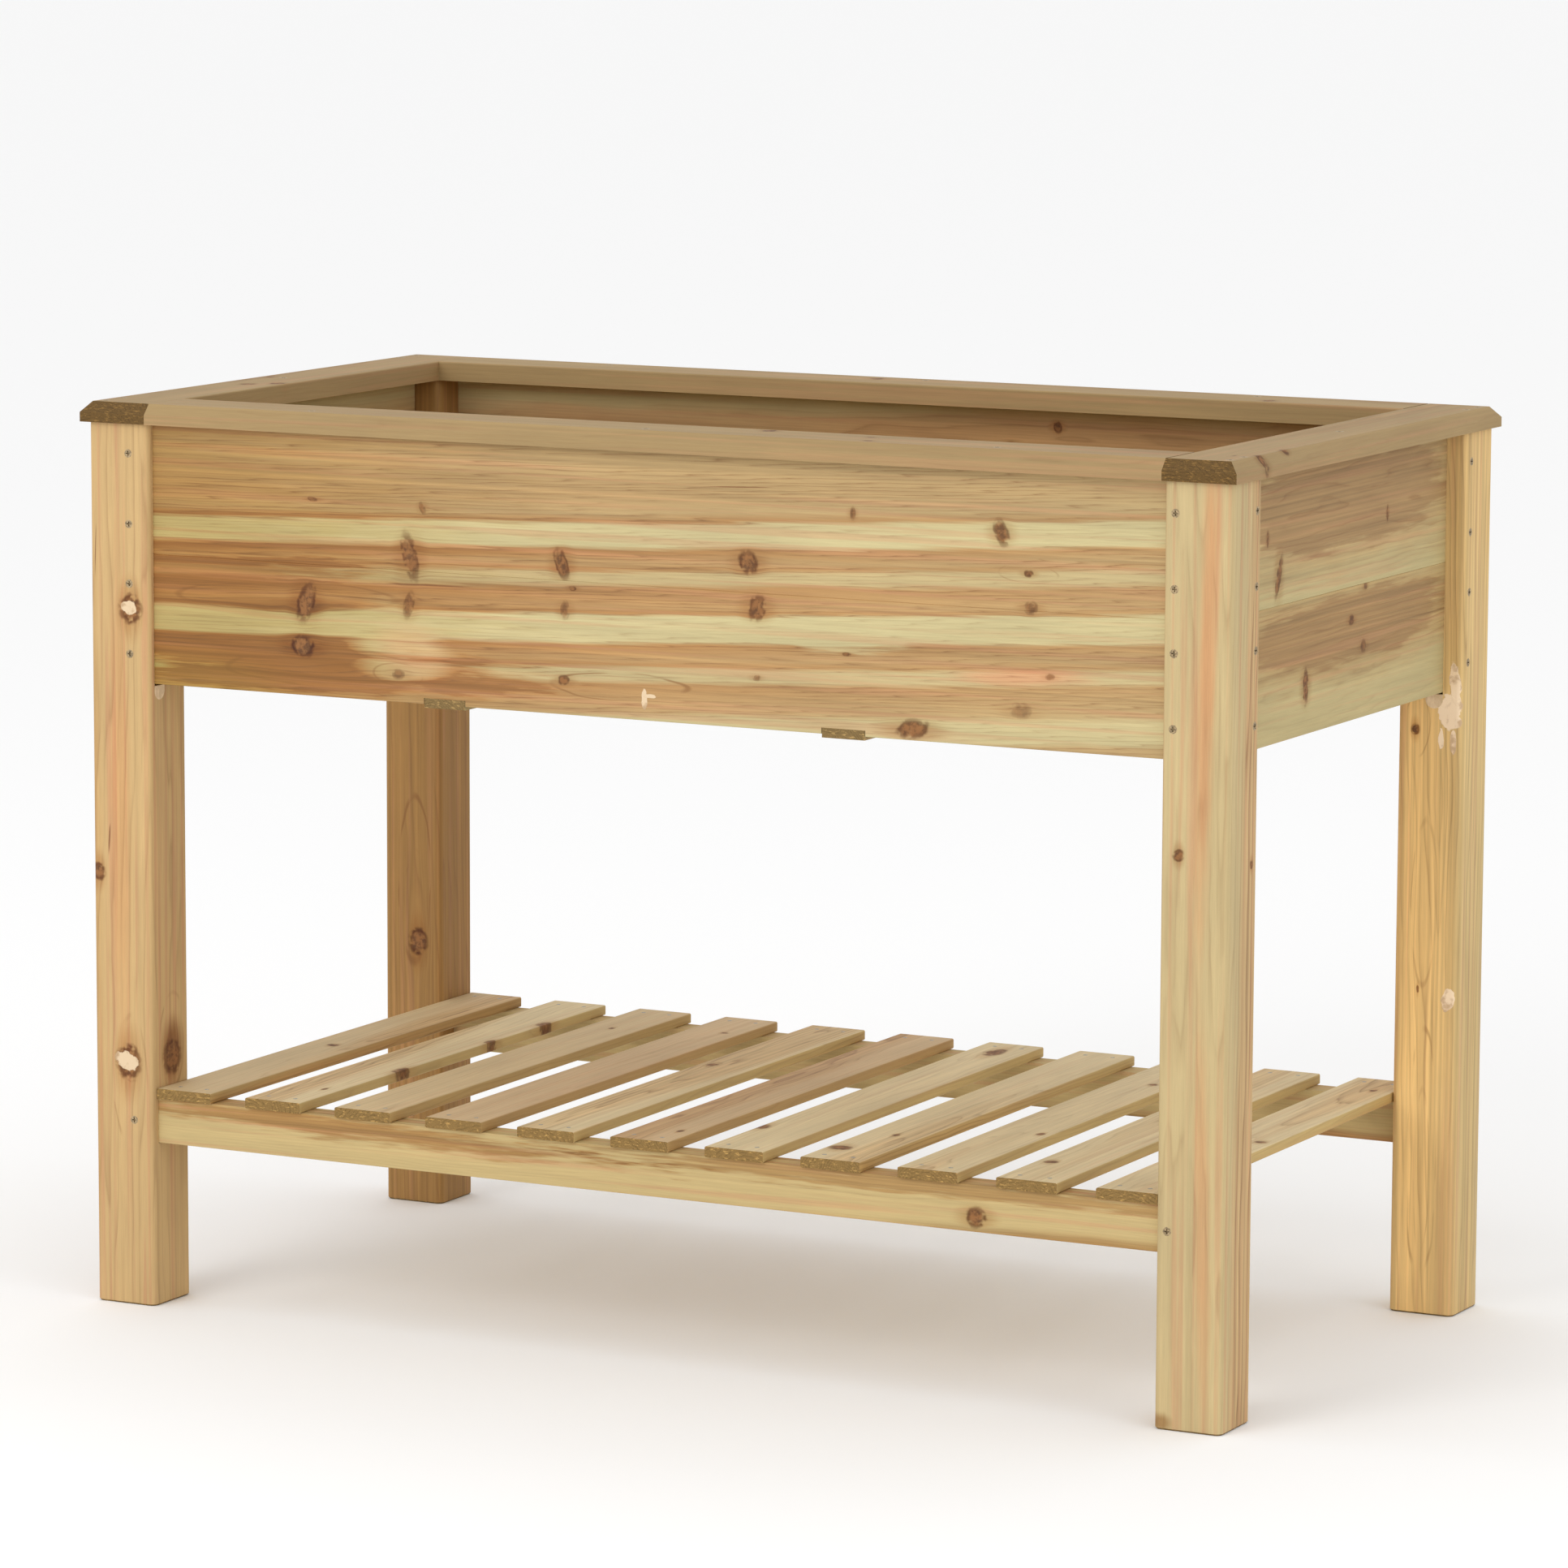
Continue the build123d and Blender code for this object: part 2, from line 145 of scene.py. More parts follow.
def softwood(
    name,
    grain,
    middle,
    pith=(40, -30),
    tilt=(0, 0),
    ring=3.0,
    sap=SAP,
    heart=HEART,
    heart_reach=0,
    bands=None,
    patches=(),
    tints=(),
    swells=(),
    arches=(),
    knots=(),
    fillers=(),
    filler=FILLER,
    cracks=(),
    pink=0.25,
    ring_strength=0.45,
    end_grain=END_GRAIN,
    painted_edge_shade=None,
    seed=0,
):
    """Planed fir sawn from round a pith line that runs beside the piece.

    Lengths are millimetres and angles degrees. pith is where that line passes, across the
    grain from the piece's middle, and tilt is how it leans. heart_reach is the radius of the
    darker heartwood round it; bands can give the grain and the heartwood instead. A knot is
    the axis its branch ran along, its middle, its size along and across the grain, its lean
    and how dark it is. Fillers, cracks, patches, tints and swells of the grain are egg shapes,
    and an arch is a growth ring cut through at a slant, which follows an egg's skin.
    painted_edge_shade is the direction that a slat's narrow edges face, and the colour of the
    painted shade that darkens them.
    """
    material = bpy.data.materials.new(name)
    material.use_nodes = True
    tree = material.node_tree
    place = Shade(tree).node("ShaderNodeTexCoord", output=3).scaled(1000)
    normal = Shade(tree).node("ShaderNodeTexCoord", output=1)
    length_axis = "xyz".index(grain)
    across_grain = [0 if axis == length_axis else 1 for axis in range(3)]

    def part(grain_place, spot, opening):
        """Opens the grain round a spot, by pulling every place near it towards it."""
        beside = place.vector("SUBTRACT", spot).vector("MULTIPLY", across_grain)
        return grain_place.vector("SUBTRACT", beside.scaled(opening))

    # The grain parts round each knot and closes again behind it. Before the first knot, nearest
    # is the distance to the origin on the floor, far from all wood, and there is no stain.
    parted = place
    for spot, radii, lean, amount in swells:
        parted = part(parted, spot, place.distance(spot, radii, lean).between(1.0, 0.0, amount))
    nearest = place.vector("LENGTH", output=1)
    strength = nearest * 0
    for face, spot, along_grain, across, lean, darkness in knots:
        face_axis = "xyz".index(face)
        radii = [across] * 3
        radii[length_axis], radii[face_axis] = along_grain, KNOT_DEPTH
        turned = [lean if axis == face_axis else 0 for axis in range(3)]
        nearest = nearest.maths("MINIMUM", place.distance(spot, radii, turned))
        stained = [r * STAIN_ACROSS for r in radii]
        stained[length_axis] = along_grain * STAIN_ALONG
        trail = place.distance(spot, stained)
        strength = strength.maths("MAXIMUM", trail.between(1.0, 0.3, darkness))
        opening = KNOT_OPENING * min(1, along_grain / across)
        parted = part(parted, spot, trail.between(1.0, 0.1, opening))

    # From here on X runs along the grain, and each piece has its own stretch of it.
    shift = seed * SEED_STEP

    def grain_first(where):
        """The same places measured from the piece's middle, with the grain along X."""
        turned = {"Vector": where, "Location": middle, "Rotation": TURN_GRAIN[grain]}
        turned["Scale"] = (1, 1, 1)
        laid = where.node("ShaderNodeMapping", {"vector_type": "TEXTURE"}, turned)
        return laid.vector("ADD", (shift, 0, 0))

    straight = grain_first(place)
    along = grain_first(parted)
    drift = (along.noise((260, 60, 60), 2) - 0.5) * 14 + (along.noise((110, 16, 16), 2) - 0.5) * 6
    if bands is None:
        aside = along.vector("SUBTRACT", (shift, pith[0], pith[1]))
        leaned = (0, math.radians(tilt[0]), math.radians(tilt[1]))
        aside = aside.node(
            "ShaderNodeMapping", {"vector_type": "POINT"}, {"Vector": aside, "Rotation": leaned}
        )
        radius = aside.vector("MULTIPLY", (0, 1, 1)).vector("LENGTH", output=1) + drift
        dark = radius.between(heart_reach + 5, heart_reach - 5, 0.85)
    else:
        radius, dark = bands(parted, drift)
    phase = (radius * (1 / ring) + along.noise((500, 12, 12), 1) * 1.6).maths("FRACT")
    late = phase.node("ShaderNodeValToRGB", {"stops": LATE_WOOD_RAMP}, {0: phase})
    late = late * along.noise((500, 7, 7), 1).between(0.30, 0.60)

    for *egg, amount in patches:
        frayed = (along.noise((40, 3, 3), 3) - 0.5) * (18 / min(egg[1]))
        ragged = place.distance(*egg) + frayed + (along.noise((90, 22, 22), 2) - 0.5) * 0.7
        dark = dark + ragged.between(1.35, 0.55, amount)
    dark = dark.clamped()

    tone = dark.blend(sap, heart)
    tone = dark.between(0.86, 1.0, 0.45).blend(tone, LATE_WOOD)
    streak = along.noise((420, 7, 7), 2).between(0.50, 0.66, pink)
    tone = streak.blend(tone, PINK_STREAK)
    tone = (late * (dark * 0.75 + 0.35) * ring_strength).blend(tone, LATE_WOOD)
    veins = along.noise((600, 3.0, 3.0), 2, 0.5) - 0.5
    tone = tone.scaled(veins * (dark * 0.6 + 0.25) + 1)
    for *egg, amount in arches:
        wavering = (along.noise((60, 20, 20), 1) - 0.5) * 0.5
        skin = (place.distance(*egg) + wavering - 1).maths("ABSOLUTE")
        faint = along.noise((50, 16, 16), 1).between(0.42, 0.60, amount)
        tone = (skin.between(0.07, 0.01) * faint).blend(tone, ARCH_LINE)
    blotch = straight.noise((140, 22, 22), 3) * 0.34 + 0.83
    fibre = straight.noise((26, 0.55, 0.55), 3, 0.65) * 0.30 + 0.85
    tone = tone.scaled(blotch * fibre)
    # Each tint multiplies the tone inside an egg: mostly streaks of the wood's own colour, and on
    # the back right leg painted light and painted shade.
    for *egg, colour in tints:
        ragged = place.distance(*egg) + (along.noise((60, 6, 6), 2) - 0.5) * 0.5
        tone = ragged.between(1.1, 0.3).blend(tone, colour, "MULTIPLY")

    # Round a knot the wood is stained; its bark ring comes and goes, and its core is cracked.
    rough = nearest + (place.noise((7, 7, 7), 2) - 0.5) * 0.7
    streaks = straight.noise((30, 1.8, 1.8), 2)
    stain = (strength * (streaks + 0.2)).clamped()
    tone = stain.blend(tone, KNOT_STAIN, "MULTIPLY")
    bark = rough.between(1.4, 1.0) * place.noise((6, 6, 6), 1).between(0.30, 0.52)
    tone = (bark * strength).blend(tone, KNOT_BARK, "MULTIPLY")
    grip = place.noise((5, 5, 5), 3, 0.6).between(0.36, 0.60)
    inside = rough.between(1.0, 0.6) * strength
    tone = inside.blend(tone, grip.blend(KNOT_CRACK, KNOT_CORE))

    relief = fibre * 0.7
    crumbs = place.noise((9, 5, 9), 4)
    dirty = [c * k for c, k in zip(filler, DIRT)]
    for egg in fillers:
        ragged = place.distance(*egg) + (crumbs - 0.5) * 1.3
        pressed = ragged.between(1.0, 0.9)
        tone = pressed.blend(tone, crumbs.between(0.34, 0.52).blend(dirty, filler))
        relief = relief + pressed * 0.5
    for egg in cracks:
        split = place.distance(*egg) + (straight.noise((14, 2, 2), 3) - 0.5) * 0.8
        tone = split.between(1.2, 0.5, 0.8).blend(tone, SPLIT)
        relief = relief - split.between(1.1, 0.5) * 0.5

    # Painted shade: the narrow faces that look along the given direction are darkened.
    if painted_edge_shade:
        facing, edge_shade_tint = painted_edge_shade
        edge = normal.vector("DOT_PRODUCT", facing, output=1).maths("ABSOLUTE").between(0.5, 0.9)
        tone = edge.blend(tone, edge_shade_tint, "MULTIPLY")

    # The sawn ends are darker, furry and show the rings.
    lengthwise = [1 - a for a in across_grain]
    end = normal.vector("DOT_PRODUCT", lengthwise, output=1).maths("ABSOLUTE").between(0.45, 0.65)
    pores = straight.noise((3, 0.8, 0.8), 3, 0.7)
    deep = [c * 0.36 for c in end_grain[:3]] + [1]
    furry = [c * 2.1 for c in end_grain[:3]] + [1]
    sawn = (late * 0.55 + pores.between(0.35, 0.7) * 0.45).blend(end_grain, deep)
    sawn = place.noise((5.5, 1.0, 1.6), 3, 0.7).between(0.54, 0.66, 0.75).blend(sawn, furry)
    tone = end.blend(tone, sawn)
    relief = relief + end * pores * 1.6

    finish = tree.nodes["Principled BSDF"]
    finish.inputs["Specular IOR Level"].default_value = 0.32
    (0.58 + fibre * 0.12 + end * 0.2).feed(finish.inputs["Roughness"])
    tone.feed(finish.inputs["Base Color"])
    bump = {"Strength": 0.55, "Distance": 0.0006, "Height": relief}
    relief.node("ShaderNodeBump", None, bump).feed(finish.inputs["Normal"])
    return material


def middle_of(node):
    """The middle of a CAD node in millimetres."""
    low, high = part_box(node)
    return (low + high) / 2 / MM


def finish_node(node, material):
    """Gives a CAD node its finish."""
    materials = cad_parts[node].data.materials
    materials.clear()
    materials.append(material)


LEG_LOOKS = {
    "leg_front_left": dict(
        pith=(44, 62),
        tilt=(1.0, 2.2),
        ring=6.0,
        sap=(0.54, 0.36, 0.16, 1),
        heart=(0.50, 0.29, 0.12, 1),
        heart_reach=70,
        pink=0.5,
        ring_strength=1.0,
        knots=(
            ("y", (-480, -270, 593), 10, 10, 0, 1.0),
            ("y", (-486, -270, 208), 12, 11, 0, 1.0),
            ("y", (-514, -270, 369), 6.5, 6, 0, 1.0),
            ("x", (-462, -240, 210), 12, 13, 0, 0.8),
        ),
        fillers=(
            ((-481, -270, 594), (8, 7, 6), (0, 10, 0)),
            ((-487, -270, 209), (11.5, 7, 8), (0, 24, 0)),
        ),
        cracks=(
            ((-503, -270, 398), (0.9, 3, 14), (0, 4, 0)),
            ((-514, -270, 640), (0.5, 3, 22), (0, 2, 0)),
        ),
        tints=(
            ((-524, -262, 610), (9, 20, 46), (0, 0, 0), (0.62, 0.50, 0.38, 1)),
            ((-462, -240, 218), (9, 21, 32), (0, 0, 0), (0.52, 0.40, 0.30, 1)),
            ((-492, -270, 420), (12, 20, 260), (0, 0, 0), (1.05, 0.91, 0.86, 1)),
            ((-522, -262, 380), (14, 20, 460), (0, 0, 0), (0.90, 0.80, 0.68, 1)),
        ),
        arches=(
            ((-462, -240, 226), (20, 19, 42), (0, 0, 0), 0.4),
            ((-485, -270, 190), (17, 20, 60), (0, 0, 0), 0.3),
        ),
    ),
    "leg_front_right": dict(
        pith=(70, 20),
        tilt=(0.6, -1.2),
        ring=5.5,
        sap=(0.52, 0.40, 0.20, 1),
        heart=(0.53, 0.345, 0.16, 1),
        heart_reach=88,
        pink=0.4,
        ring_strength=0.75,
        knots=(
            ("y", (478, -270, 457), 4, 4.4, 0, 0.9),
            ("x", (520, -225, 447), 3, 2.5, 0, 0.9),
        ),
        tints=(
            ((500, -262, 600), (11, 24, 300), (0, 1.2, 0), (1.06, 0.74, 0.66, 1)),
            ((502, -262, 160), (9, 24, 220), (0, -1.4, 0), (1.04, 0.80, 0.74, 1)),
            ((468, -270, 6), (12, 12, 9), (0, 0, 0), (0.62, 0.48, 0.36, 1)),
        ),
    ),
    "leg_back_left": dict(
        pith=(-36, 8),
        tilt=(1.5, 1.0),
        ring=6.0,
        sap=(0.40, 0.245, 0.082, 1),
        heart=(0.33, 0.175, 0.052, 1),
        heart_reach=70,
        ring_strength=0.5,
        knots=(("y", (-485, 212, 240), 10, 8.5, 0, 1.0),),
        swells=(((-487, 212, 262), (20, 40, 90), (0, 0, 0), 0.8),),
        arches=(
            ((-488, 212, 300), (17, 40, 78), (0, 0, 0), 0.8),
            ((-487, 212, 275), (12, 40, 46), (0, 0, 0), 0.8),
        ),
    ),
    "leg_back_right": dict(
        pith=(-34, -10),
        tilt=(1.2, -1.4),
        ring=5.5,
        sap=(0.64, 0.47, 0.22, 1),
        heart=(0.68, 0.45, 0.18, 1),
        heart_reach=60,
        pink=0.35,
        ring_strength=0.42,
        knots=(
            ("y", (478, 212, 498), 4, 3.5, 0, 1.0),
            ("y", (484, 212, 278), 2.8, 1.2, 0, 0.8),
        ),
        filler=(0.90, 0.70, 0.48, 1),
        swells=(((488, 212, 330), (16, 40, 130), (0, 1, 0), 0.7),),
        arches=(
            ((488, 212, 350), (12, 40, 70), (0, 1, 0), 0.35),
            ((490, 212, 130), (13, 40, 110), (0, 0, 0), 0.5),
            ((490, 212, 120), (7, 40, 70), (0, 0, 0), 0.4),
            ((480, 212, 500), (11, 40, 26), (0, 0, 0), 0.4),
        ),
        tints=(
            # Painted light brightens the leg's inward front face, and painted shade darkens its
            # right face.
            ((484, 212, 300), (26, 20, 460), (0, 0, 0), (1.25, 1.21, 1.15, 1)),
            ((520, 241, 300), (8, 44, 520), (0, 0, 0), (0.84, 0.90, 0.96, 1)),
        ),
        fillers=(
            ((508, 212, 513), (11, 5, 17), (0, 0, 0)),
            ((513, 212, 536), (5, 5, 19), (0, -6, 0)),
            ((501, 212, 492), (3, 5, 11), (0, 0, 0)),
            ((512, 212, 490), (2.6, 5, 11), (0, 0, 0)),
            ((512, 212, 272), (6, 4, 10), (0, 14, 0)),
        ),
    ),
}
for number, (leg, looks) in enumerate(LEG_LOOKS.items(), start=1):
    finish_node(leg, softwood(leg, "z", middle_of(leg), seed=number + 4, **looks))


# ---- Trough walls ----
# Two planed boards to each side, stacked edge to edge with their ends in the legs' grooves.
# The front pair is cut from one wide plank, so its slanting heartwood bands run across both.

FRONT_KNOTS = (
    ("y", (-215, -262, 650), 6, 19, -14, 0.75),
    ("y", (-314, -262, 607), 6.5, 15, 18, 0.85),
    ("y", (-216, -262, 611), 4, 11, 12, 0.6),
    ("y", (-317, -262, 571), 9, 8, 0, 0.95),
    ("y", (-226, -262, 553), 5, 4, 0, 0.5),
    ("y", (-71, -262, 558), 4.5, 3.8, 0, 0.9),
    ("y", (-73, -262, 652), 5, 12, -18, 0.85),
    ("y", (-63, -262, 633), 3, 1.8, 0, 0.8),
    ("y", (-70, -262, 615), 3.5, 7, 0, 0.5),
    ("y", (-203, -262, 691), 2.4, 5, -20, 0.6),
    ("y", (-307, -262, 693), 4, 1.8, 10, 0.6),
    ("y", (97, -262, 663), 7, 9, -24, 0.9),
    ("y", (105, -262, 627), 6.5, 10, 18, 0.85),
    ("y", (105, -262, 571), 3, 2.4, 0, 0.5),
    ("y", (185, -262, 595), 3.5, 1.5, 0, 0.7),
    ("y", (190, -262, 707), 2, 5, 0, 0.6),
    ("y", (320, -262, 699), 5, 10, -20, 0.8),
    ("y", (344, -262, 668), 3.4, 2.6, 0, 0.9),
    ("y", (346, -262, 641), 5, 5, 30, 0.6),
    ("y", (363, -262, 588), 3.4, 2.4, 0, 0.5),
    ("y", (338, -262, 560), 8, 6, 0, 0.35),
    ("y", (243, -262, 539), 12, 7, -12, 0.9),
)


def front_bands(place, drift):
    """Grain lines and heartwood bands that climb to the right across both front boards."""
    reach = place.vector("DOT_PRODUCT", (1 / 920, 0, 0), output=1) + 0.5
    level = place.vector("DOT_PRODUCT", (0, 0, 1), output=1) - reach * 24 - reach * reach * 20
    streaks = place.noise((150, 3.5, 3.5), 3) - 0.5
    level = level + drift * 0.3 + streaks * 7
    stops = (
        (486, 0.7), (494, 0.7), (498, 0.05), (514, 0.1), (520, 0.65), (541, 0.9), (545, 0.25),
        (553, 0.2), (557, 0.95), (562, 0.75), (574, 1.0), (577, 0.05), (597, 0.0), (600, 1.0),
        (604, 0.8), (619, 0.95), (624, 0.3), (632, 0.3), (636, 0.95), (640, 0.7), (650, 1.0),
        (654, 0.0), (671, 0.05), (674, 0.95), (680, 0.55), (695, 0.65), (720, 0.55),
    )
    low, high = 480, 740
    share = (level - low) * (1 / (high - low))
    spread = tuple(((height - low) / (high - low), amount) for height, amount in stops)
    heart = share.node("ShaderNodeValToRGB", {"stops": spread}, {0: share})
    return level, heart * (1.08 - 0.36 * reach)


for level in ("lower", "upper"):
    node = f"front_board_{level}"
    low, high = (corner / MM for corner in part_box(node))
    wood = softwood(
        node,
        "x",
        middle_of("front_board_upper"),
        ring=3.2,
        sap=(0.53, 0.45, 0.23, 1),
        heart=(0.38, 0.172, 0.049, 1),
        bands=front_bands,
        patches=(
            ((-300, -262, 554), (190, 40, 18), (0, 0, 0), 0.8),
            ((-410, -262, 630), (150, 40, 11), (0, -2, 0), 0.5),
            ((-225, -262, 572), (44, 40, 34), (0, 20, 0), -0.75),
            ((170, -262, 610), (60, 40, 12), (0, 0, 0), -0.6),
        ),
        tints=(
            ((-560, -262, 600), (480, 60, 400), (0, 0, 0), (0.84, 0.76, 0.55, 1)),
            ((-212, -262, 572), (44, 40, 30), (0, 15, 0), (1.12, 0.97, 1.02, 1)),
            ((-440, -262, 528), (130, 40, 40), (0, 0, 0), (0.98, 1.14, 0.96, 1)),
            ((340, -262, 586), (70, 40, 8), (0, -2, 0), (1.15, 0.80, 0.80, 1)),
        ),
        swells=(
            ((-320, -262, 604), (125, 40, 16), (0, -2, 0), 0.8),
            ((-290, -262, 554), (110, 40, 15), (0, -1, 0), 0.75),
            ((130, -262, 640), (120, 40, 12), (0, -2, 0), 0.6),
        ),
        arches=(
            ((-330, -262, 611), (105, 40, 11), (0, -2, 0), 0.5),
            ((-268, -262, 553), (120, 40, 14), (0, -1, 0), 0.5),
            ((-226, -262, 553), (24, 40, 10), (0, 0, 0), 0.4),
            ((-20, -262, 556), (64, 40, 11), (0, -2, 0), 0.7),
            ((344, -262, 668), (26, 40, 7), (0, 0, 0), 0.7),
        ),
        knots=[knot for knot in FRONT_KNOTS if low.z - 12 < knot[1][2] < high.z + 12],
        fillers=(
            ((3, -262, 548), (3, 4, 8), (0, 0, 0)),
            ((8, -262, 550), (7, 4, 2), (0, 0, 0)),
        ),
        cracks=(
            ((-200, -262, 628), (48, 6, 0.7), (0, -1, 0)),
            ((85, -262, 723), (28, 6, 0.5), (0, -2, 0)),
        ),
        pink=0.35,
        ring_strength=0.8,
        seed=7,
    )
    finish_node(node, wood)


EDGE_MARGIN = 0.06


def scattered_knots(node, face, count, seed):
    """A few small knots over a board, on the pair of faces that look along an axis."""
    low, high = (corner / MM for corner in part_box(node))
    draw = random.Random(seed)
    found = []
    for _ in range(count):
        margin = (high - low) * EDGE_MARGIN
        middle = [draw.uniform(a + m, b - m) for a, b, m in zip(low, high, margin)]
        size = draw.uniform(2.5, 6)
        across = size * draw.uniform(0.7, 1.6)
        found.append((face, middle, size, across, draw.uniform(-25, 25), 0.9))
    return found


RIGHT_LOWER = dict(
    sap=(0.46, 0.37, 0.175, 1),
    heart=(0.40, 0.262, 0.105, 1),
    patches=(((502, 0, 608), (40, 320, 40), (0, 0, 0), 1.0),),
    knots=(
        ("x", (502, -80, 568), 4.5, 13, 0, 1.0),
        ("x", (502, 12, 612), 4.5, 3.8, 0, 0.8),
        ("x", (502, 38, 588), 4.5, 5, 20, 0.6),
        ("x", (502, 41, 637), 3, 3, 0, 0.6),
    ),
)
RIGHT_UPPER = dict(
    sap=(0.47, 0.385, 0.185, 1),
    heart=(0.43, 0.29, 0.125, 1),
    patches=(((502, 0, 712), (40, 320, 58), (0, 0, 0), 1.0),),
    knots=(
        ("x", (502, -137, 662), 4, 18, -22, 0.8),
        ("x", (502, 85, 692), 1.6, 6, 0, 0.8),
        ("x", (502, -160, 694), 1.8, 6, 0, 0.7),
    ),
)
END_LOOKS = {"right_board_lower": RIGHT_LOWER, "right_board_upper": RIGHT_UPPER}
END_BOARDS = [f"{side}_board_{level}" for side in ("right", "left") for level in ("lower", "upper")]
for number, node in enumerate(END_BOARDS, start=11):
    looks = END_LOOKS.get(node) or dict(knots=scattered_knots(node, "x", 4, number), heart_reach=70)
    pith = (60, 14) if "upper" in node else (-52, -20)
    wood = softwood(node, "y", middle_of(node), pith, tilt=(0.4, 0.2), seed=number, **looks)
    finish_node(node, wood)
for number, node in enumerate(("back_board_lower", "back_board_upper"), start=21):
    looks = dict(knots=scattered_knots(node, "y", 8, number), heart_reach=46, seed=number)
    finish_node(node, softwood(node, "x", middle_of(node), (34, 20), tilt=(1.2, 0.3), **looks))


# ---- Putty ----
# Each leg groove runs out a little below the wall board that sits in it.
# The open end is pressed full of pale wood putty and wiped flush with the leg.

putty = bpy.data.materials.new("putty")
putty.use_nodes = True
putty_place = Shade(putty.node_tree).node("ShaderNodeTexCoord", output=3).scaled(1000)
smears = putty_place.noise((5, 5, 9), 4, 0.6)
putty_tone = smears.between(0.3, 0.7).blend((0.60, 0.43, 0.25, 1), (0.78, 0.60, 0.39, 1))
putty_finish = putty.node_tree.nodes["Principled BSDF"]
putty_tone.feed(putty_finish.inputs["Base Color"])
(smears * 0.3 + 0.55).feed(putty_finish.inputs["Roughness"])
finish_node("groove_fillers", putty)


# ---- Floor bearers and floor boards ----
# Two thin battens are let into the lower edges of the long walls and screwed from below.
# Five thin boards are nailed across them, with drainage gaps between.

for number, node in enumerate(("floor_bearer_left", "floor_bearer_right"), start=31):
    looks = dict(pith=(14, -30), ring=2.2, sap=(0.42, 0.33, 0.15, 1), heart_reach=24, seed=number)
    finish_node(node, softwood(node, "y", middle_of(node), **looks))
for number in range(1, 6):
    node = f"floor_board_{number}"
    knots = scattered_knots(node, "z", 5, number + 40)
    pith = (25, random.Random(number).uniform(-40, 40))
    looks = dict(tilt=(0.3, 0.8), heart_reach=30, knots=knots, seed=number + 40)
    finish_node(node, softwood(node, "x", middle_of(node), pith, **looks))


# ---- Rim ----
# Four bevelled boards lie flat on the walls and legs, screwed down from above.
# The two end boards run the full depth, so their end grain shows at the front and back.

for number, node in enumerate(("rim_left", "rim_right", "rim_front", "rim_back"), start=51):
    grain = "y" if node in ("rim_left", "rim_right") else "x"
    # The rim's dark browns are partly the wood's own tone and partly painted shade.
    looks = dict(
        pith=(18, -46),
        tilt=(0.3, 0.5),
        ring=2.8,
        sap=(0.34, 0.23, 0.10, 1),
        heart=(0.26, 0.145, 0.055, 1),
        heart_reach=52,
        knots=scattered_knots(node, "z", 3, number),
        end_grain=(0.15, 0.082, 0.022, 1),
        seed=number,
    )
    finish_node(node, softwood(node, grain, middle_of(node), **looks))


# ---- Shelf ----
# Two rails stand on edge in the legs' mortises, one along the front and one along the back.
# Eleven thin slats lie across them, each nailed twice at both ends.

RAIL_KNOTS = (("y", (303, -262, 152), 7, 8, -14, 0.95), ("y", (-60, 240, 160), 5, 5, 0, 0.8))
for number, node in enumerate(("shelf_rail_front", "shelf_rail_back"), start=61):
    looks = dict(
        pith=(-10, -40),
        tilt=(0.9, 0.3),
        ring=2.6,
        sap=(0.52, 0.39, 0.175, 1),
        heart=(0.35, 0.185, 0.052, 1),
        heart_reach=20,
        patches=(
            ((-300, -262, 170), (260, 40, 9), (0, 1.2, 0), 0.9),
            ((260, -262, 173), (300, 40, 8), (0, 0, 0), 0.7),
        ),
        knots=RAIL_KNOTS,
        pink=0.35,
        seed=number,
    )
    finish_node(node, softwood(node, "x", middle_of(node), **looks))

TAN, OLIVE, ROSE = (0.60, 0.46, 0.26, 1), (0.68, 0.555, 0.33, 1), (0.59, 0.43, 0.245, 1)
SLAT_TONES = (TAN, OLIVE, TAN, ROSE, OLIVE, ROSE, OLIVE, OLIVE, OLIVE, OLIVE, OLIVE)
SLAT_KNOTS = {
    2: (
        ("z", (-322, 155, 187), 9, 7, 0, 0.8),
        ("z", (-322, 58, 187), 7, 5, 0, 0.7),
        ("z", (-323, -95, 187), 10, 5, 0, 0.8),
        ("z", (-336, -200, 187), 4, 2.5, 0, 0.7),
    ),
    7: (("z", (87, 222, 187), 13, 8, 0, 0.9), ("z", (64, -170, 187), 8, 6, 0, 0.8)),
    8: (("z", (160, -218, 187), 7, 9, 0, 0.9), ("z", (176, -150, 187), 4, 3, 0, 0.8)),
    9: (("z", (270, 150, 187), 3.5, 4, 0, 0.8), ("z", (278, -90, 187), 4, 3.5, 0, 0.8)),
    11: (("z", (450, -35, 187), 4, 5, 0, 0.8), ("z", (444, 215, 187), 4, 3, 0, 0.8)),
}
for number, sap in enumerate(SLAT_TONES, start=1):
    node = f"shelf_slat_{number:02d}"
    draw = random.Random(number)
    looks = dict(
        pith=(draw.uniform(-30, 30), draw.uniform(-34, -16)),
        tilt=(draw.uniform(-2.2, 2.2), draw.uniform(-1.5, 1.5)),
        ring=draw.uniform(2.4, 3.6),
        sap=sap,
        heart=[c * k for c, k in zip(sap, (0.90, 0.78, 0.66, 1))],
        heart_reach=draw.uniform(18, 34),
        knots=SLAT_KNOTS.get(number) or scattered_knots(node, "z", 1, number + 80),
        pink=0.15,
        ring_strength=0.6,
        end_grain=(0.29, 0.175, 0.055, 1),
        # Painted shade darkens the slats' long narrow faces.
        painted_edge_shade=((1, 0, 0), (0.74, 0.64, 0.42, 1)),
        seed=70 + number,
    )
    finish_node(node, softwood(node, "y", middle_of(node), **looks))


# ---- Screws and nails ----
# Countersunk screws in yellowish zinc plating with cross recesses, driven flush.
# The nails are plated too, with flat heads punched level with the slats and floor boards.


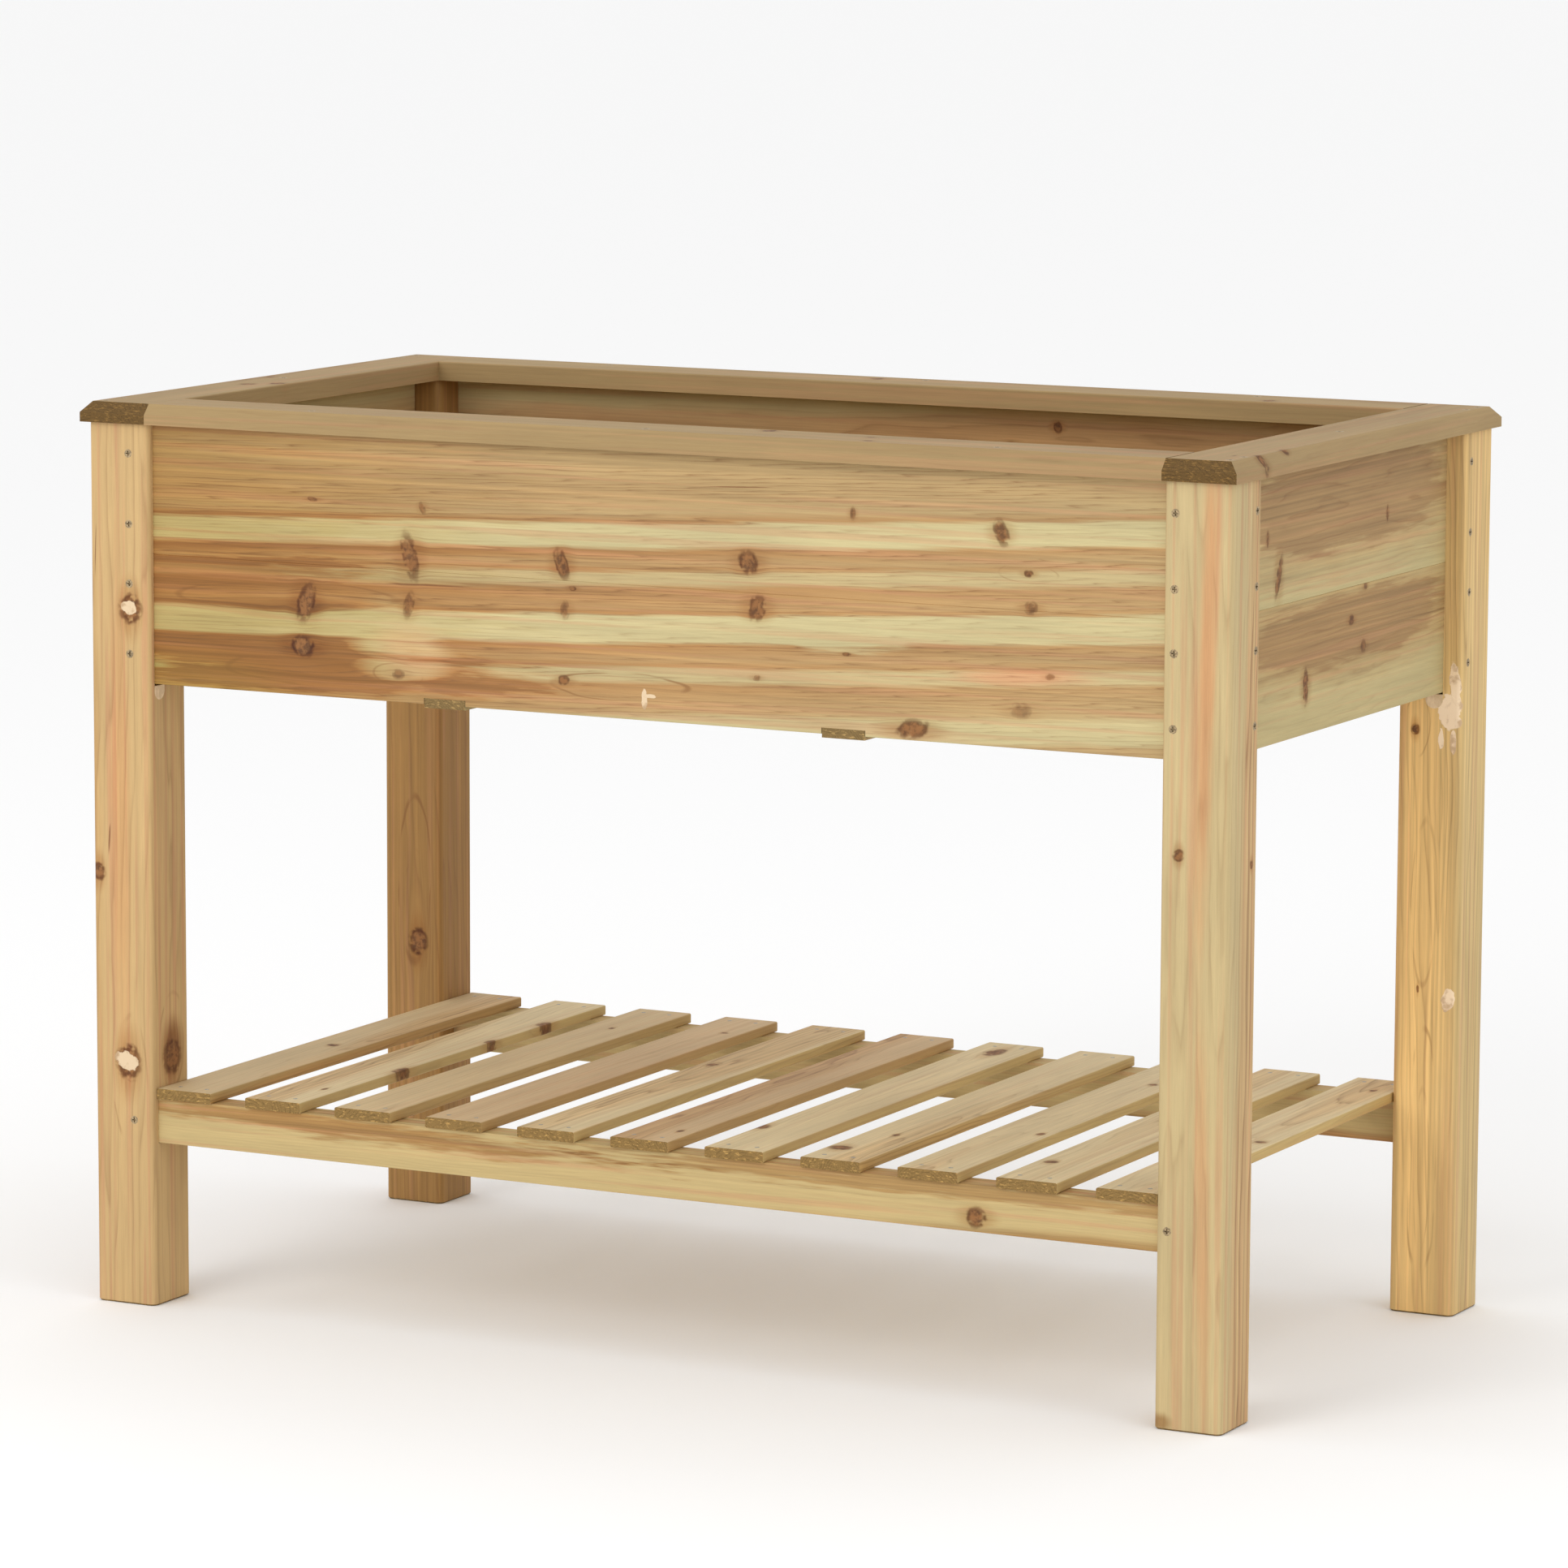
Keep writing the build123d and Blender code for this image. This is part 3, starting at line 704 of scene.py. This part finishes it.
def plated_steel(name, colour, roughness):
    """Dull plating, with a little dirt from driving."""
    material = bpy.data.materials.new(name)
    material.use_nodes = True
    tree = material.node_tree
    place = Shade(tree).node("ShaderNodeTexCoord", output=3).scaled(1000)
    grime = place.noise((1.6, 1.6, 1.6), 3)
    finish = tree.nodes["Principled BSDF"]
    finish.inputs["Metallic"].default_value = 0.6
    dull = [c * 0.5 for c in colour[:3]] + [1]
    grime.between(0.40, 0.62).blend(dull, colour).feed(finish.inputs["Base Color"])
    (roughness + grime * 0.25).feed(finish.inputs["Roughness"])
    return material


screw_plate = plated_steel("screw_plating", (0.46, 0.34, 0.19, 1), 0.4)
nail_plate = plated_steel("nail_plating", (0.45, 0.42, 0.38, 1), 0.4)
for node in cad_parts:
    if node.endswith("screws"):
        finish_node(node, screw_plate)
    elif node.endswith("nails"):
        finish_node(node, nail_plate)


# ---- Studio ----
# A plain pale floor runs off to an even white surround.
# One broad soft lamp stands in front on the left, and a weak one on the right.

FLOOR_SIZE = 400
floor_mesh = bpy.data.meshes.new("studio_floor")
shape = bmesh.new()
bmesh.ops.create_grid(shape, x_segments=1, y_segments=1, size=FLOOR_SIZE / 2)
shape.to_mesh(floor_mesh)
shape.free()
floor = bpy.data.objects.new("studio_floor", floor_mesh)
bpy.context.scene.collection.objects.link(floor)
pale = bpy.data.materials.new("studio_floor")
pale.use_nodes = True
pale_finish = pale.node_tree.nodes["Principled BSDF"]
pale_finish.inputs["Base Color"].default_value = (0.93, 0.93, 0.93, 1)
pale_finish.inputs["Roughness"].default_value = 0.9
floor_mesh.materials.append(pale)

world = bpy.data.worlds.new("studio_air")
world.use_nodes = True
air = world.node_tree.nodes["Background"]
air.inputs["Color"].default_value = (1, 1, 1, 1)
air.inputs["Strength"].default_value = 1.0
bpy.context.scene.world = world


LAMP_AIM = (0, 0, 0.4)


def softbox(name, place, size, power):
    """A round soft lamp, turned towards the middle of the object."""
    light = bpy.data.lights.new(name, "AREA")
    light.shape = "DISK"
    light.size = size
    light.energy = power
    lamp = bpy.data.objects.new(name, light)
    bpy.context.scene.collection.objects.link(lamp)
    lamp.location = place
    lamp.rotation_euler = (Vector(LAMP_AIM) - Vector(place)).to_track_quat("-Z", "Y").to_euler()


softbox("key_light", place=(-1.2, -4.2, 2.6), size=2.6, power=62)
softbox("side_light", place=(4.0, -1.0, 2.0), size=2.4, power=14)

CAMERA_PLACE = (2.6625, -5.1749, 1.2938)
CAMERA_HEADING = 27.272
CAMERA_PITCH = -8.302
CAMERA_ROLL = 0.235
camera_data = bpy.data.cameras.new("camera")
camera_data.sensor_width = 36
camera_data.lens = 160.76
camera = bpy.data.objects.new("camera", camera_data)
bpy.context.scene.collection.objects.link(camera)
camera.matrix_world = (
    Matrix.Translation(CAMERA_PLACE)
    @ Matrix.Rotation(math.radians(CAMERA_HEADING), 4, "Z")
    @ Matrix.Rotation(math.radians(90 + CAMERA_PITCH), 4, "X")
    @ Matrix.Rotation(math.radians(CAMERA_ROLL), 4, "Z")
)
bpy.context.scene.camera = camera
bpy.context.scene.view_settings.view_transform = "Standard"
